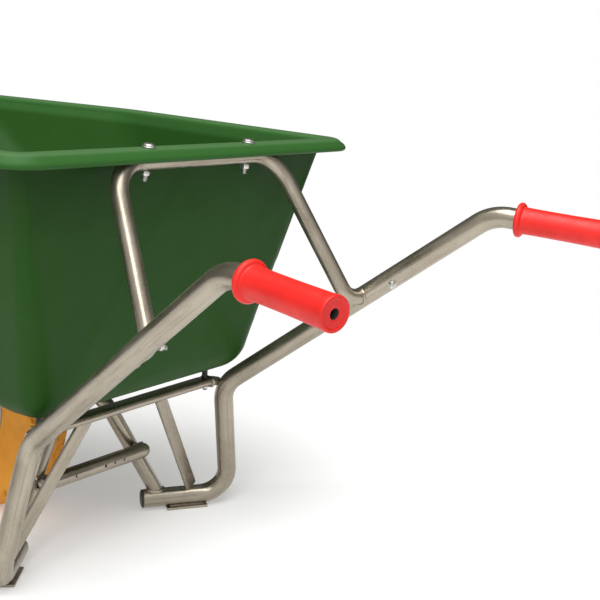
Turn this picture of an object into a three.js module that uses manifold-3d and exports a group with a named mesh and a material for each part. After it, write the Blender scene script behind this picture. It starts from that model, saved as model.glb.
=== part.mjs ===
// A single-wheel barrow: a moulded tub on a bent-tube frame, with a solid tyre on a split rim.
// Millimetres. +X is the operator's right, +Y points from the grips to the wheel, +Z is up.
// Places are given from the middle of the leg bends, at ground height, and the whole model is
// shifted at the end so that its origin is the bottom centre of its box.
import * as THREE from "three";
import { mergeVertices } from "three/addons/utils/BufferGeometryUtils.js";
import Module from "manifold-3d";

const wasm = await Module();
wasm.setup();

const at = (x, y, z) => new THREE.Vector3(x, y, z);
const mirrored = (points) => points.map((p) => at(-p.x, p.y, p.z));
const sum = (a, b) => a.clone().add(b);

// Driving dimensions
const clearance = 0.3;
const handleR = 16;
const handleWall = 2;
const frameR = 12.5;
const frameWall = 1.5;
const plateHeight = 4;
const groundZ = handleR + plateHeight + clearance;

// Handle and leg: one tube from the foot skid up the leg, along the handle, to the grip.
const legBend = at(213, 0, 225);
const gripBend = at(308, -448, 536);
const gripEnd = at(344, -626, 515);
const skidOuter = at(259, 31, groundZ);
const skidInner = at(140, 120, groundZ);
const legBendR = 60;
const gripBendR = 70;
const footBendR = 45;
const gripLength = 144;

const legRun = Math.atan2(skidInner.y - skidOuter.y, skidInner.x - skidOuter.x);

// Tub: wall outline at the floor and under the rim, then the rim itself.
const floorZ = 262;
const floorEdgeR = 35;
const tubWall = 4;
const rearRimZ = 644;
const rimRise = 0.0665;
const rimReach = 30;
const skirtFlare = 9;
const rimDrop = 19;
const floorOutline = [
  { x: 234, y: -40, r: 44 },
  { x: 228, y: 30, r: 30 },
  { x: 212, y: 95, r: 45 },
];
const wallTopOutline = [
  { x: 330, y: -125, r: 16 },
  { x: 330, y: 330, r: 260 },
  { x: 232, y: 700, r: 115 },
];

// Wheel
const axleY = 376;
const axleZ = 200;
const tyreR = 200;
const tyreHalfWidth = 45;
const hubHalf = 50;
const hubR = 19;
const bearingR = 15;
const bearingWidth = 12;
const axleR = 7;
const rimSeatR = 100.3;
const rimBoltCircleR = 46;

// Frame members
const barY = 14;
const barZ = 235;
const barWidth = 30;
const barHeight = 14;
const forkX = 66;
const forkZ = 232;
const stayTop = at(52, 118, 216);
const stayFoot = at(168, 108, groundZ);
const forkEndY = 436;
const hoopTop = at(173, -139.5, 626.5);
const hoopKnee = at(220, -244, 403);
const hoopFootAlong = 0.548;
const hoopBendR = 62;
const stayCrossZ = 121;
const stayCrossHalf = 125;
const guardY = 640;
const guardHalf = 92;
const frontBarHalf = 130;
const slopeBarY = 560;
const cradleY = 140;

// Fasteners
const boltR = 4;
const hoopBoltX = 108;
const floorBoltX = 183;
const handleNutAlong = 0.655;
const frontBoltX = 100;

const finish = {
  tub: { color: 0x2f5a26, roughness: 0.5, metalness: 0 },
  zinc: { color: 0xa29889, roughness: 0.38, metalness: 0.9 },
  bolt: { color: 0xb9b9b4, roughness: 0.3, metalness: 0.95 },
  grip: { color: 0xe0262a, roughness: 0.45, metalness: 0 },
  tyre: { color: 0xd77a08, roughness: 0.6, metalness: 0 },
  rim: { color: 0x8f9396, roughness: 0.4, metalness: 0.85 },
  plug: { color: 0x151515, roughness: 0.6, metalness: 0 },
};

const model = new THREE.Group();

function add(name, geometry, look) {
  const mesh = new THREE.Mesh(geometry, new THREE.MeshStandardMaterial(look));
  mesh.name = name;
  model.add(mesh);
  return mesh;
}

// Solids

function toSolid(geometry) {
  const bare = geometry.clone();
  bare.deleteAttribute("normal");
  bare.deleteAttribute("uv");
  const merged = mergeVertices(bare, 1e-3);
  return new wasm.Manifold(
    new wasm.Mesh({
      numProp: 3,
      vertProperties: new Float32Array(merged.attributes.position.array),
      triVerts: new Uint32Array(merged.index.array),
    }),
  );
}

function toGeometry(solid) {
  const mesh = solid.getMesh();
  const geometry = new THREE.BufferGeometry();
  geometry.setAttribute("position", new THREE.BufferAttribute(mesh.vertProperties, 3));
  geometry.setIndex(new THREE.BufferAttribute(mesh.triVerts, 1));
  return geometry;
}

// The geometry with each cutter taken out of it; the largest piece that is left is kept.
function cut(geometry, ...cutters) {
  let solid = toSolid(geometry);
  for (const cutter of cutters) solid = solid.subtract(toSolid(cutter));
  const pieces = solid.decompose();
  pieces.sort((a, b) => b.volume() - a.volume());
  return toGeometry(pieces[0]);
}

function polygon(radius, count) {
  const points = [];
  for (let i = 0; i < count; i++) {
    const angle = ((i + 0.5) / count) * 2 * Math.PI;
    points.push(new THREE.Vector2(radius * Math.cos(angle), radius * Math.sin(angle)));
  }
  return points;
}

// A route of straight runs joined by round bends, with stations only where the shape needs them.
class BentRoute extends THREE.Curve {
  constructor(points, radii, stepsPerBend) {
    super();
    this.stations = [points[0].clone()];
    for (let i = 1; i < points.length - 1; i++) {
      this.addBend(points[i - 1], points[i], points[i + 1], radii[i - 1], stepsPerBend);
    }
    this.stations.push(points[points.length - 1].clone());
  }

  addBend(before, corner, after, radius, steps) {
    const u = before.clone().sub(corner).normalize();
    const w = after.clone().sub(corner).normalize();
    const half = u.angleTo(w) / 2;
    const reach = radius / Math.tan(half);
    const centre = sum(corner, sum(u, w).normalize().multiplyScalar(radius / Math.sin(half)));
    const start = sum(corner, u.clone().multiplyScalar(reach));
    const from = start.clone().sub(centre);
    const axis = u.clone().cross(w).normalize();
    for (let k = 0; k <= steps; k++) {
      const turn = -(k / steps) * (Math.PI - 2 * half);
      this.stations.push(sum(centre, from.clone().applyAxisAngle(axis, turn)));
    }
  }

  get steps() {
    return this.stations.length - 1;
  }

  getPoint(t) {
    const place = Math.min(t * this.steps, this.steps);
    const i = Math.min(Math.floor(place), this.steps - 1);
    return this.stations[i].clone().lerp(this.stations[i + 1], place - i);
  }

  getPointAt(u) {
    return this.getPoint(u);
  }

  getTangentAt(u) {
    const i = Math.round(u * this.steps);
    const before = this.stations[Math.max(i - 1, 0)];
    const after = this.stations[Math.min(i + 1, this.steps)];
    const middle = this.stations[i];
    const into = middle.clone().sub(before).normalize();
    const out = after.clone().sub(middle).normalize();
    return sum(into, out).normalize();
  }
}

function sweep(shape, route) {
  return new THREE.ExtrudeGeometry(shape, {
    steps: route.steps,
    extrudePath: route,
    bevelEnabled: false,
  });
}

function tube(points, radii, radius, wall, sides = 10, steps = 4) {
  const shape = new THREE.Shape(polygon(radius, sides));
  if (wall > 0) shape.holes.push(new THREE.Path(polygon(radius - wall, 6).reverse()));
  return sweep(shape, new BentRoute(points, radii, steps));
}

function rod(from, to, radius, sides = 10) {
  return tube([from, to], [], radius, 0, sides);
}

// A turned piece: the profile is a list of [distance from the axis, distance along it].
function turned(profile, segments, origin, direction) {
  const geometry = new THREE.LatheGeometry(
    profile.map(([r, s]) => new THREE.Vector2(r, s)),
    segments,
  );
  const turn = new THREE.Quaternion().setFromUnitVectors(at(0, 1, 0), direction.clone().normalize());
  geometry.applyQuaternion(turn);
  geometry.translate(origin.x, origin.y, origin.z);
  return geometry;
}

function ring(inner, outer, length, segments, origin, direction) {
  const profile = [
    [inner, 0],
    [outer, 0],
    [outer, length],
    [inner, length],
    [inner, 0],
  ];
  return turned(profile, segments, origin, direction);
}

function hexNut(radius, bore, height, origin, direction) {
  const shape = new THREE.Shape(polygon(radius, 6));
  shape.holes.push(new THREE.Path(polygon(bore, 8).reverse()));
  const geometry = new THREE.ExtrudeGeometry(shape, { depth: height, bevelEnabled: false });
  const turn = new THREE.Quaternion().setFromUnitVectors(at(0, 0, 1), direction.clone().normalize());
  geometry.applyQuaternion(turn);
  geometry.translate(origin.x, origin.y, origin.z);
  return geometry;
}

// A domed bolt: its head sits on the origin and its shank runs back along the direction.
function domedBolt(headR, shankR, shankLength, origin, direction) {
  const profile = [
    [0, -shankLength],
    [shankR, -shankLength],
    [shankR, 0],
    [headR, 0],
    [headR, 1.5],
    [headR * 0.75, 4.2],
    [0, 5.6],
  ];
  return turned(profile, 10, origin, direction);
}

// Handles, legs and grips

const handlePoints = [gripEnd, gripBend, legBend, skidOuter, skidInner];
const handleRadii = [gripBendR, legBendR, footBendR];
const gripWay = gripEnd.clone().sub(gripBend).normalize();
const tubeEnd = sum(gripEnd, gripWay.clone().multiplyScalar(-6));

function handleTube(points) {
  return tube(points, handleRadii, handleR, handleWall, 12, 4);
}

function handleSpace(points) {
  return tube(points, handleRadii, handleR + clearance, 0, 12, 4);
}

function grip(end, way) {
  const boreR = handleR + 0.6;
  const profile = [
    [boreR, 0],
    [26, 0],
    [27.5, 1.5],
    [27.5, 5],
    [26, 6.5],
    [21, 8],
    [20, 12],
    [20.6, gripLength - 14],
    [22.2, gripLength - 8],
    [22.2, gripLength - 1.5],
    [20.6, gripLength],
    [6, gripLength],
    [6, gripLength - 5],
    [boreR, gripLength - 5],
    [boreR, 0],
  ];
  const start = sum(end, way.clone().multiplyScalar(-gripLength));
  return turned(profile, 18, start, way);
}

function footPlug(inner, outer) {
  const way = inner.clone().sub(outer).normalize();
  const profile = [
    [0, -16],
    [handleR - handleWall - 2.6, -16],
    [handleR - handleWall - 2.6, clearance],
    [handleR - 1, clearance],
    [handleR - 1, 2.5],
    [handleR - 3, 4],
    [0, 4],
  ];
  return turned(profile, 16, inner, way);
}

// A flat wear plate welded under the skid, which is what stands on the ground.
function footPlate(sign) {
  const plate = new THREE.BoxGeometry(70, 32, plateHeight);
  plate.rotateZ(sign * legRun);
  const middle = skidOuter.clone().lerp(skidInner, 0.5);
  plate.translate(sign * middle.x, middle.y, plateHeight / 2);
  return plate;
}

// A small capped nut on the handle's inner lower side, on a stud through the tube's wall.
function handleNut(sign) {
  const along = gripBend.clone().sub(legBend).normalize();
  const out = at(-0.75, 0, -0.66);
  out.addScaledVector(along, -out.dot(along)).normalize();
  const middle = legBend.clone().lerp(gripBend, handleNutAlong);
  const foot = middle.addScaledVector(out, handleR + clearance);
  const profile = [
    [0, 0],
    [5.8, 0],
    [5.8, 5],
    [3, 6],
    [3, 10],
    [0, 10],
  ];
  const flipX = (v) => at(sign * v.x, v.y, v.z);
  return turned(profile, 12, flipX(foot), flipX(out));
}

function mirroredX(vector) {
  return at(-vector.x, vector.y, vector.z);
}

const sidesOfFrame = [
  { side: "right", flip: (points) => points, one: (p) => p.clone(), sign: 1 },
  { side: "left", flip: mirrored, one: mirroredX, sign: -1 },
];

// Tub

// The outline's corners on the right, mirrored to the left, with every edge moved out by a reach.
function outlinePoints(corners, reach) {
  const loop = [...corners, ...corners.map((c) => ({ x: -c.x, y: c.y, r: c.r })).reverse()];
  const count = loop.length;
  const points = [];
  const moved = loop.map((corner, i) => {
    const before = loop[(i + count - 1) % count];
    const after = loop[(i + 1) % count];
    const a = new THREE.Vector2(corner.x - before.x, corner.y - before.y).normalize();
    const b = new THREE.Vector2(after.x - corner.x, after.y - corner.y).normalize();
    const outA = new THREE.Vector2(a.y, -a.x);
    const outB = new THREE.Vector2(b.y, -b.x);
    const scale = reach / (1 + outA.dot(outB));
    return { x: corner.x + (outA.x + outB.x) * scale, y: corner.y + (outA.y + outB.y) * scale };
  });
  const arcSteps = [4, 3, 4, 4, 3, 4];
  for (let i = 0; i < count; i++) {
    const here = new THREE.Vector2(moved[i].x, moved[i].y);
    const before = moved[(i + count - 1) % count];
    const after = moved[(i + 1) % count];
    const u = new THREE.Vector2(before.x, before.y).sub(here).normalize();
    const w = new THREE.Vector2(after.x, after.y).sub(here).normalize();
    const half = Math.acos(THREE.MathUtils.clamp(u.dot(w), -1, 1)) / 2;
    const radius = Math.max(loop[i].r + reach, 3);
    const toCentre = u.clone().add(w).normalize();
    const centre = here.clone().addScaledVector(toCentre, radius / Math.sin(half));
    const start = here.clone().addScaledVector(u, radius / Math.tan(half)).sub(centre);
    const turn = Math.PI - 2 * half;
    for (let k = 0; k <= arcSteps[i]; k++) {
      const spun = start.clone().rotateAround(new THREE.Vector2(), (k / arcSteps[i]) * turn);
      points.push(spun.add(centre));
    }
  }
  return points;
}

const rimZ = (y) => rearRimZ + rimRise * (y + 160);

// One ring of the wall: share runs from 0 at the floor to 1 under the rim.
function wallRing(share, reach, lift) {
  const low = outlinePoints(floorOutline, reach);
  return outlinePoints(wallTopOutline, reach).map((high, i) => {
    const foot = at(low[i].x, low[i].y, floorZ);
    return foot.lerp(at(high.x, high.y, rimZ(high.y) - tubWall), share).add(at(0, 0, lift));
  });
}

// Rings round the floor's rolled edge, from the flat floor out to the wall.
function floorEdgeRings(reach, lift) {
  const rings = [];
  const steps = 3;
  for (let k = 0; k <= steps; k++) {
    const angle = (k / steps) * (Math.PI / 2);
    const inset = floorEdgeR * (1 - Math.sin(angle));
    const share = (floorEdgeR * (1 - Math.cos(angle))) / (rearRimZ - floorZ);
    rings.push(wallRing(share, reach - inset, lift * Math.cos(angle)));
  }
  return rings;
}

function rimRing(reach, below) {
  return outlinePoints(wallTopOutline, reach).map((p) => at(p.x, p.y, rimZ(p.y) - below));
}

function tubGeometry() {
  const rings = [
    ...floorEdgeRings(0, 0),
    wallRing(0.5, 0, 0),
    rimRing(0, tubWall),
    rimRing(rimReach - 3.5, tubWall + 0.5),
    rimRing(rimReach + skirtFlare - 3.5, rimDrop),
    rimRing(rimReach + skirtFlare, rimDrop),
    rimRing(rimReach, 7),
    rimRing(rimReach - 3, 1.5),
    rimRing(rimReach - 8, 0),
    rimRing(4, 0),
    rimRing(-1.5, 1.5),
    rimRing(-tubWall, 7),
    wallRing(0.5, -tubWall, 0),
    ...floorEdgeRings(-tubWall, tubWall).reverse(),
  ];
  return closedLoft(rings, at(0, 30, floorZ), at(0, 30, floorZ + tubWall));
}

// A closed skin over rings of equal length, with a fan to a centre at each end.
function closedLoft(rings, firstCentre, lastCentre) {
  const count = rings[0].length;
  const vertices = rings.flat().concat([firstCentre, lastCentre]);
  const firstIndex = rings.length * count;
  const index = [];
  rings.slice(1).forEach((_, r) => {
    for (let i = 0; i < count; i++) {
      const a = r * count + i;
      const b = r * count + ((i + 1) % count);
      index.push(a, b, b + count, a, b + count, a + count);
    }
  });
  const last = (rings.length - 1) * count;
  for (let i = 0; i < count; i++) {
    const next = (i + 1) % count;
    index.push(firstIndex, next, i);
    index.push(firstIndex + 1, last + i, last + next);
  }
  const geometry = new THREE.BufferGeometry().setFromPoints(vertices);
  geometry.setIndex(index);
  return geometry;
}

// The front wall is a plane that climbs over the wheel.
const slopeLow = at(0, floorOutline[2].y, floorZ);
const slopeHigh = at(0, wallTopOutline[2].y, rimZ(wallTopOutline[2].y) - tubWall);
const slopeWay = slopeHigh.clone().sub(slopeLow).normalize();
const slopeOut = at(0, slopeWay.z, -slopeWay.y);

function onSlope(x, y, out) {
  const along = (y - slopeLow.y) / slopeWay.y;
  return sum(at(x, slopeLow.y, slopeLow.z), slopeWay.clone().multiplyScalar(along)).addScaledVector(
    slopeOut,
    out,
  );
}

// Frame members

const hoopFoot = legBend.clone().lerp(gripBend, hoopFootAlong);
const hoopPoints = [
  hoopFoot,
  hoopKnee,
  hoopTop,
  mirroredX(hoopTop),
  mirroredX(hoopKnee),
  mirroredX(hoopFoot),
];
const forkPoints = [stayFoot, stayTop, at(forkX, 205, forkZ - 2), at(forkX, forkEndY, forkZ)];
const forkRadii = [30, 60];
const frontBarCentre = onSlope(0, slopeBarY, frameR + 1);
const cradleTop = onSlope(0, cradleY, frameR + 1);

const handleSpaces = [handleSpace(handlePoints), handleSpace(mirrored(handlePoints))];
const forkSpace = (points) => tube(points, forkRadii, frameR + clearance, 0);
const forkSpaces = [forkSpace(forkPoints), forkSpace(mirrored(forkPoints))];

function verticalHole(x, y, low, high, radius) {
  return rod(at(x, y, low), at(x, y, high), radius);
}

function rearCrossBar() {
  const shape = new THREE.Shape();
  const half = barHeight / 2;
  const flat = barWidth / 2 - half;
  shape.absarc(flat, 0, half, -Math.PI / 2, Math.PI / 2, false);
  shape.absarc(-flat, 0, half, Math.PI / 2, (3 * Math.PI) / 2, false);
  const bar = new THREE.ExtrudeGeometry(shape, {
    depth: 2 * legBend.x,
    bevelEnabled: false,
    curveSegments: 3,
  });
  bar.rotateY(Math.PI / 2);
  bar.rotateX(Math.PI / 2);
  bar.translate(-legBend.x, barY, barZ);
  const holes = [-1, 1].map((s) => verticalHole(s * floorBoltX, barY, 200, 260, boltR + clearance));
  return cut(bar, ...handleSpaces, ...holes);
}

function supportHoop() {
  const hoop = tube(hoopPoints, [22, hoopBendR, hoopBendR, 22], frameR, frameWall, 12, 3);
  const holes = [-1, 1].map((s) =>
    verticalHole(s * hoopBoltX, hoopTop.y, 600, 660, boltR + clearance),
  );
  return cut(hoop, ...handleSpaces, ...holes);
}

function forkTube(points) {
  return cut(tube(points, forkRadii, frameR, frameWall), ...handleSpaces);
}

// A flat bar from under the cross bar down to the foot skid.
function legBrace(sign) {
  const top = at(sign * 82, barY + 8, barZ - 2);
  const foot = at(sign * 211, 70, groundZ + 6);
  const way = foot.clone().sub(top);
  const length = way.length();
  const bar = new THREE.BoxGeometry(26, 5, length);
  const basis = new THREE.Matrix4();
  const across = at(0, 1, 0).cross(way).normalize();
  const face = way.clone().normalize().cross(across);
  basis.makeBasis(across, face, way.clone().normalize());
  bar.applyMatrix4(basis);
  bar.translate((top.x + foot.x) / 2, (top.y + foot.y) / 2, (top.z + foot.z) / 2);
  const underBar = new THREE.BoxGeometry(600, barWidth + 40, 40);
  underBar.translate(0, barY, barZ - barHeight / 2 - clearance + 20);
  return cut(bar, underBar, ...handleSpaces);
}

// A tube across the back of the two stays, with closed ends and vent holes.
function stayCrossTube() {
  const share = (stayTop.z - stayCrossZ) / (stayTop.z - stayFoot.z);
  const stayY = stayTop.y + (stayFoot.y - stayTop.y) * share;
  const y = stayY - 2 * frameR - clearance - 0.4;
  const end = stayCrossHalf;
  const profile = [
    [0, -end],
    [7, -end + 1.5],
    [frameR, -end + 8],
    [frameR, end - 8],
    [7, end - 1.5],
    [0, end],
  ];
  const body = turned(profile, 16, at(0, y, stayCrossZ), at(1, 0, 0));
  const inside = rod(at(-end + 12, y, stayCrossZ), at(end - 12, y, stayCrossZ), frameR - frameWall, 10);
  const vents = [-55, 10, 52].map((x) => rod(at(x, y - 20, stayCrossZ), at(x, y, stayCrossZ), 2, 8));
  return cut(body, inside, ...vents);
}

// An inverted U on the fork tubes, under the foot of the sloping front wall.
function tubCradle() {
  const low = at(forkX - 4, cradleTop.y, forkZ);
  const high = at(forkX - 4, cradleTop.y, cradleTop.z);
  const points = [low, high, mirroredX(high), mirroredX(low)];
  return cut(tube(points, [24, 24], frameR, frameWall), ...forkSpaces);
}

function frontCradleBar() {
  const c = frontBarCentre;
  const bar = tube([at(-frontBarHalf, c.y, c.z), at(frontBarHalf, c.y, c.z)], [], frameR, frameWall);
  const holes = [-1, 1].map((s) =>
    rod(onSlope(s * frontBoltX, slopeBarY, -30), onSlope(s * frontBoltX, slopeBarY, 60), 4.3),
  );
  return cut(bar, ...holes);
}

function frontStay(sign) {
  const x = sign * forkX;
  const stay = tube([at(x, 412, forkZ), at(x, frontBarCentre.y, frontBarCentre.z)], [], 10, frameWall);
  const barSpace = rod(
    at(-200, frontBarCentre.y, frontBarCentre.z),
    at(200, frontBarCentre.y, frontBarCentre.z),
    frameR + clearance,
  );
  return cut(stay, barSpace, ...forkSpaces);
}

function noseGuard() {
  const start = at(forkX, forkEndY + clearance, forkZ);
  const shoulder = at(forkX, forkEndY + 34, forkZ);
  const front = at(guardHalf, guardY, forkZ + 18);
  const points = [start, shoulder, front, mirroredX(front), mirroredX(shoulder), mirroredX(start)];
  return tube(points, [40, 45, 45, 40], frameR, frameWall, 10, 3);
}

function axleBracket(sign) {
  const shape = new THREE.Shape();
  shape.moveTo(-30, 46);
  shape.lineTo(-30, 26);
  shape.lineTo(-18, -8);
  shape.absarc(0, 0, 20, Math.PI * 1.13, Math.PI * 1.87, false);
  shape.lineTo(30, 26);
  shape.lineTo(30, 46);
  shape.closePath();
  shape.holes.push(new THREE.Path(polygon(axleR + 0.4, 16).reverse()));
  const plate = new THREE.ExtrudeGeometry(shape, { depth: 5, bevelEnabled: false, curveSegments: 4 });
  plate.rotateX(Math.PI / 2);
  plate.rotateZ(Math.PI / 2);
  plate.translate(sign * forkX - 2.5, axleY, axleZ);
  return cut(plate, ...forkSpaces);
}

// Wheel

const sideways = (sign) => at(sign, 0, 0);
const axlePoint = (x) => at(x, axleY, axleZ);

function tyreGeometry() {
  const seat = rimSeatR + clearance;
  const half = [
    [seat, 36.3],
    [112, 36.3],
    [115, 41],
    [128, 44],
    [165, tyreHalfWidth],
    [182, 44],
    [192, 38],
    [198, 24],
    [tyreR, 10],
  ];
  const far = half.map(([r, x]) => [r, -x]).reverse();
  const profile = [...half, ...far, half[0]].map(([r, x]) => [r, x]).reverse();
  return turned(profile, 28, axlePoint(0), sideways(1));
}

function rimHalf(sign) {
  const profile = [
    [hubR + clearance, 0.2],
    [hubR + clearance, 3.2],
    [64, 3.2],
    [94.5, 22],
    [97.5, 36.6],
    [97.5, 39.6],
    [111, 39.6],
    [111, 36.8],
    [rimSeatR, 36.6],
    [97.3, 20.4],
    [67, 0.2],
    [hubR + clearance, 0.2],
  ].reverse();
  const disc = turned(profile, 28, axlePoint(0), sideways(sign));
  const holes = rimBoltPlaces().map((p) => rod(at(-20, p.y, p.z), at(20, p.y, p.z), 3.4, 8));
  return cut(disc, ...holes);
}

function rimBoltPlaces() {
  return [0, 1, 2].map((i) => {
    const angle = (i + 0.25) * ((2 * Math.PI) / 3);
    return at(0, axleY + rimBoltCircleR * Math.cos(angle), axleZ + rimBoltCircleR * Math.sin(angle));
  });
}

// Assembly

add("tub", cutTub(), finish.tub);

function cutTub() {
  const rimHoles = [-1, 1].map((s) => verticalHole(s * hoopBoltX, hoopTop.y, 600, 700, boltR + clearance));
  const floorHoles = [-1, 1].map((s) => verticalHole(s * floorBoltX, barY, 240, 300, boltR + clearance));
  const frontHoles = [-1, 1].map((s) =>
    rod(onSlope(s * frontBoltX, slopeBarY, -30), onSlope(s * frontBoltX, slopeBarY, 30), 4.3),
  );
  return cut(tubGeometry(), ...rimHoles, ...floorHoles, ...frontHoles);
}

for (const { side, flip, one, sign } of sidesOfFrame) {
  const points = flip([tubeEnd, ...handlePoints.slice(1)]);
  add(side + "_handle_leg_tube", handleTube(points), finish.zinc);
  add(side + "_grip", grip(one(gripEnd), one(gripWay)), finish.grip);
  add(side + "_foot_plug", footPlug(one(skidInner), one(skidOuter)), finish.plug);
  add(side + "_handle_nut", handleNut(sign), finish.bolt);
  add(side + "_foot_plate", footPlate(sign), finish.zinc);
  add(side + "_fork_tube", forkTube(flip(forkPoints)), finish.zinc);
  add(side + "_leg_brace", legBrace(sign), finish.zinc);
  add(side + "_front_stay", frontStay(sign), finish.zinc);
  add(side + "_axle_bracket", axleBracket(sign), finish.zinc);
}
add("rear_cross_bar", rearCrossBar(), finish.zinc);
add("tub_support_hoop", supportHoop(), finish.zinc);
add("stay_cross_tube", stayCrossTube(), finish.zinc);
add("tub_cradle", tubCradle(), finish.zinc);
add("front_cradle_bar", frontCradleBar(), finish.zinc);
add("nose_guard", noseGuard(), finish.zinc);

// Tub fasteners: each bolt is given by the place under its head and the way its head points.
function addTubFasteners(side, sign) {
  const up = at(0, 0, 1);
  const rimTop = rimZ(hoopTop.y) + clearance;
  const hoopWasherAt = at(sign * hoopBoltX, hoopTop.y, rimTop + 0.4);
  add(side + "_hoop_washer", ring(boltR + 0.5, 10, 1.6, 12, hoopWasherAt, up), finish.bolt);
  const hoopHead = sum(hoopWasherAt, at(0, 0, 1.6 + clearance));
  add(side + "_hoop_bolt", domedBolt(8, boltR, 49, hoopHead, up), finish.bolt);
  const hoopNut = at(sign * hoopBoltX, hoopTop.y, hoopTop.z - frameR - clearance - 6.5);
  add(side + "_hoop_nut", hexNut(7.4, boltR + 0.5, 6.5, hoopNut, up), finish.bolt);

  const floorHead = at(sign * floorBoltX, barY, floorZ + tubWall + clearance);
  add(side + "_floor_bolt", domedBolt(7, boltR, 52, floorHead, up), finish.bolt);
  const spacerLow = barZ + barHeight / 2 + clearance;
  const spacerAt = at(sign * floorBoltX, barY, spacerLow);
  const spacerHeight = floorZ - spacerLow - clearance;
  add(side + "_floor_spacer", ring(boltR + 0.5, 6.5, spacerHeight, 12, spacerAt, up), finish.plug);
  const floorNut = at(sign * floorBoltX, barY, barZ - barHeight / 2 - clearance - 6.5);
  add(side + "_floor_nut", hexNut(7.4, boltR + 0.5, 6.5, floorNut, up), finish.bolt);

  const inward = slopeOut.clone().negate();
  const frontHead = onSlope(sign * frontBoltX, slopeBarY, -tubWall - 1);
  add(side + "_front_bolt", domedBolt(9, boltR, 44, frontHead, inward), finish.bolt);
  const frontNut = onSlope(sign * frontBoltX, slopeBarY, 1 + 2 * frameR + clearance + 6.5);
  add(side + "_front_nut", hexNut(7.4, boltR + 0.5, 6.5, frontNut, inward), finish.bolt);
}
sidesOfFrame.forEach(({ side, sign }) => addTubFasteners(side, sign));

// Wheel and axle
add("tyre", tyreGeometry(), finish.tyre);
add("hub_tube", ring(bearingR + 0.5, hubR, 2 * hubHalf, 20, axlePoint(-hubHalf), sideways(1)), finish.rim);
for (const { side, sign } of sidesOfFrame) {
  add(side + "_rim_half", rimHalf(sign), finish.rim);
  const bearingAt = axlePoint(sign * (hubHalf - bearingWidth));
  const bearing = ring(axleR + 0.4, bearingR, bearingWidth, 20, bearingAt, sideways(sign));
  add(side + "_bearing", bearing, finish.bolt);
  const spacerFrom = hubHalf + clearance;
  const spacerLength = forkX - 2.5 - clearance - spacerFrom;
  const spacer = ring(axleR + 0.5, 11, spacerLength, 12, axlePoint(sign * spacerFrom), sideways(sign));
  add(side + "_axle_spacer", spacer, finish.zinc);
  const washerAt = axlePoint(sign * (forkX + 2.5 + clearance));
  add(side + "_axle_washer", ring(axleR + 0.5, 14, 2, 14, washerAt, sideways(sign)), finish.bolt);
}
const axleNutFrom = forkX + 2.5 + 2 + 2 * clearance;
const axleShank = 2 * axleNutFrom + 14;
const axleHead = [
  [0, -axleShank],
  [axleR - 1, -axleShank],
  [axleR, -axleShank + 2],
  [axleR, 0],
  [12, 0],
  [12, 7],
  [10.5, 8.5],
  [0, 8.5],
];
add("axle_bolt", turned(axleHead, 12, axlePoint(-axleNutFrom), sideways(-1)), finish.bolt);
add("axle_nut", hexNut(12.7, axleR + 1, 11, axlePoint(axleNutFrom), sideways(1)), finish.bolt);
rimBoltPlaces().forEach((place, i) => {
  const head = sum(place, at(3.2 + clearance, 0, 0));
  add("rim_bolt_" + (i + 1), domedBolt(6, 3, 15, head, sideways(1)), finish.bolt);
  const nut = sum(place, at(-3.2 - clearance, 0, 0));
  add("rim_nut_" + (i + 1), hexNut(5.8, 3.4, 5, nut, sideways(-1)), finish.bolt);
});

// The origin is the bottom centre of the box, on the ground.
const box = new THREE.Box3().setFromObject(model, true);
model.position.set(0, -(box.min.y + box.max.y) / 2, -box.min.z);

const wheelbarrow = new THREE.Group();
wheelbarrow.add(model);

export default wheelbarrow;
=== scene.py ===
"""A single-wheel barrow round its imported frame: tub, bent galvanised tubes, grips, solid tyre."""

import math
import random

import bpy
from mathutils import Euler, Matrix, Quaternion, Vector

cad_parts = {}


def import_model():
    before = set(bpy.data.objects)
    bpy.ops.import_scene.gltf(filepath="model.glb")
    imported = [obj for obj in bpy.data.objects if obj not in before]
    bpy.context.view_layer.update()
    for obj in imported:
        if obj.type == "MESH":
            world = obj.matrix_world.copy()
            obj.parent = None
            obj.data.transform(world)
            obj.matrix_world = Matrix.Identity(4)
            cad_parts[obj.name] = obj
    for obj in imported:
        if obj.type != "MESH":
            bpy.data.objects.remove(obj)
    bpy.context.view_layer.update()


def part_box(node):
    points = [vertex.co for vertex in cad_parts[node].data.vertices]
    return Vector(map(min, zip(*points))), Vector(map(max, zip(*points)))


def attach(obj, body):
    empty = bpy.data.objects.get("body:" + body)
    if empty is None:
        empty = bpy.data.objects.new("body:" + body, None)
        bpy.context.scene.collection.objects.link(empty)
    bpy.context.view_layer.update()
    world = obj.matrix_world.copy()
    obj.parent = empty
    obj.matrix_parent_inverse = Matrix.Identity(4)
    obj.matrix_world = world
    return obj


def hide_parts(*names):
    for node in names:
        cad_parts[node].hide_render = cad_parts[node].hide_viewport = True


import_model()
rng = random.Random(7)

# Lengths are in millimetres, with the leg bends at y = 0, until P turns them into metres in the
# frame of the part. The middle of the tyre's box says where the axle, and so the bends, are there.
TYRE_LOW, TYRE_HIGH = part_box("tyre")
AXLE_FROM_BENDS, AXLE_HEIGHT = 376, 200
SHIFT_Y = (TYRE_LOW[1] + TYRE_HIGH[1]) / 2 * 1000 - AXLE_FROM_BENDS
MM = 0.001


def V(x, y, z):
    return Vector((x, y, z))


def P(v):
    return (v[0] * MM, (v[1] + SHIFT_Y) * MM, v[2] * MM)


def clamp(value):
    return min(1.0, max(0.0, value))


def flip(v):
    return V(-v[0], v[1], v[2])


SIDES = (("right", 1), ("left", -1))


def on_side(v, sign):
    return V(sign * v[0], v[1], v[2])


# Dimensions that several pieces share

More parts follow.
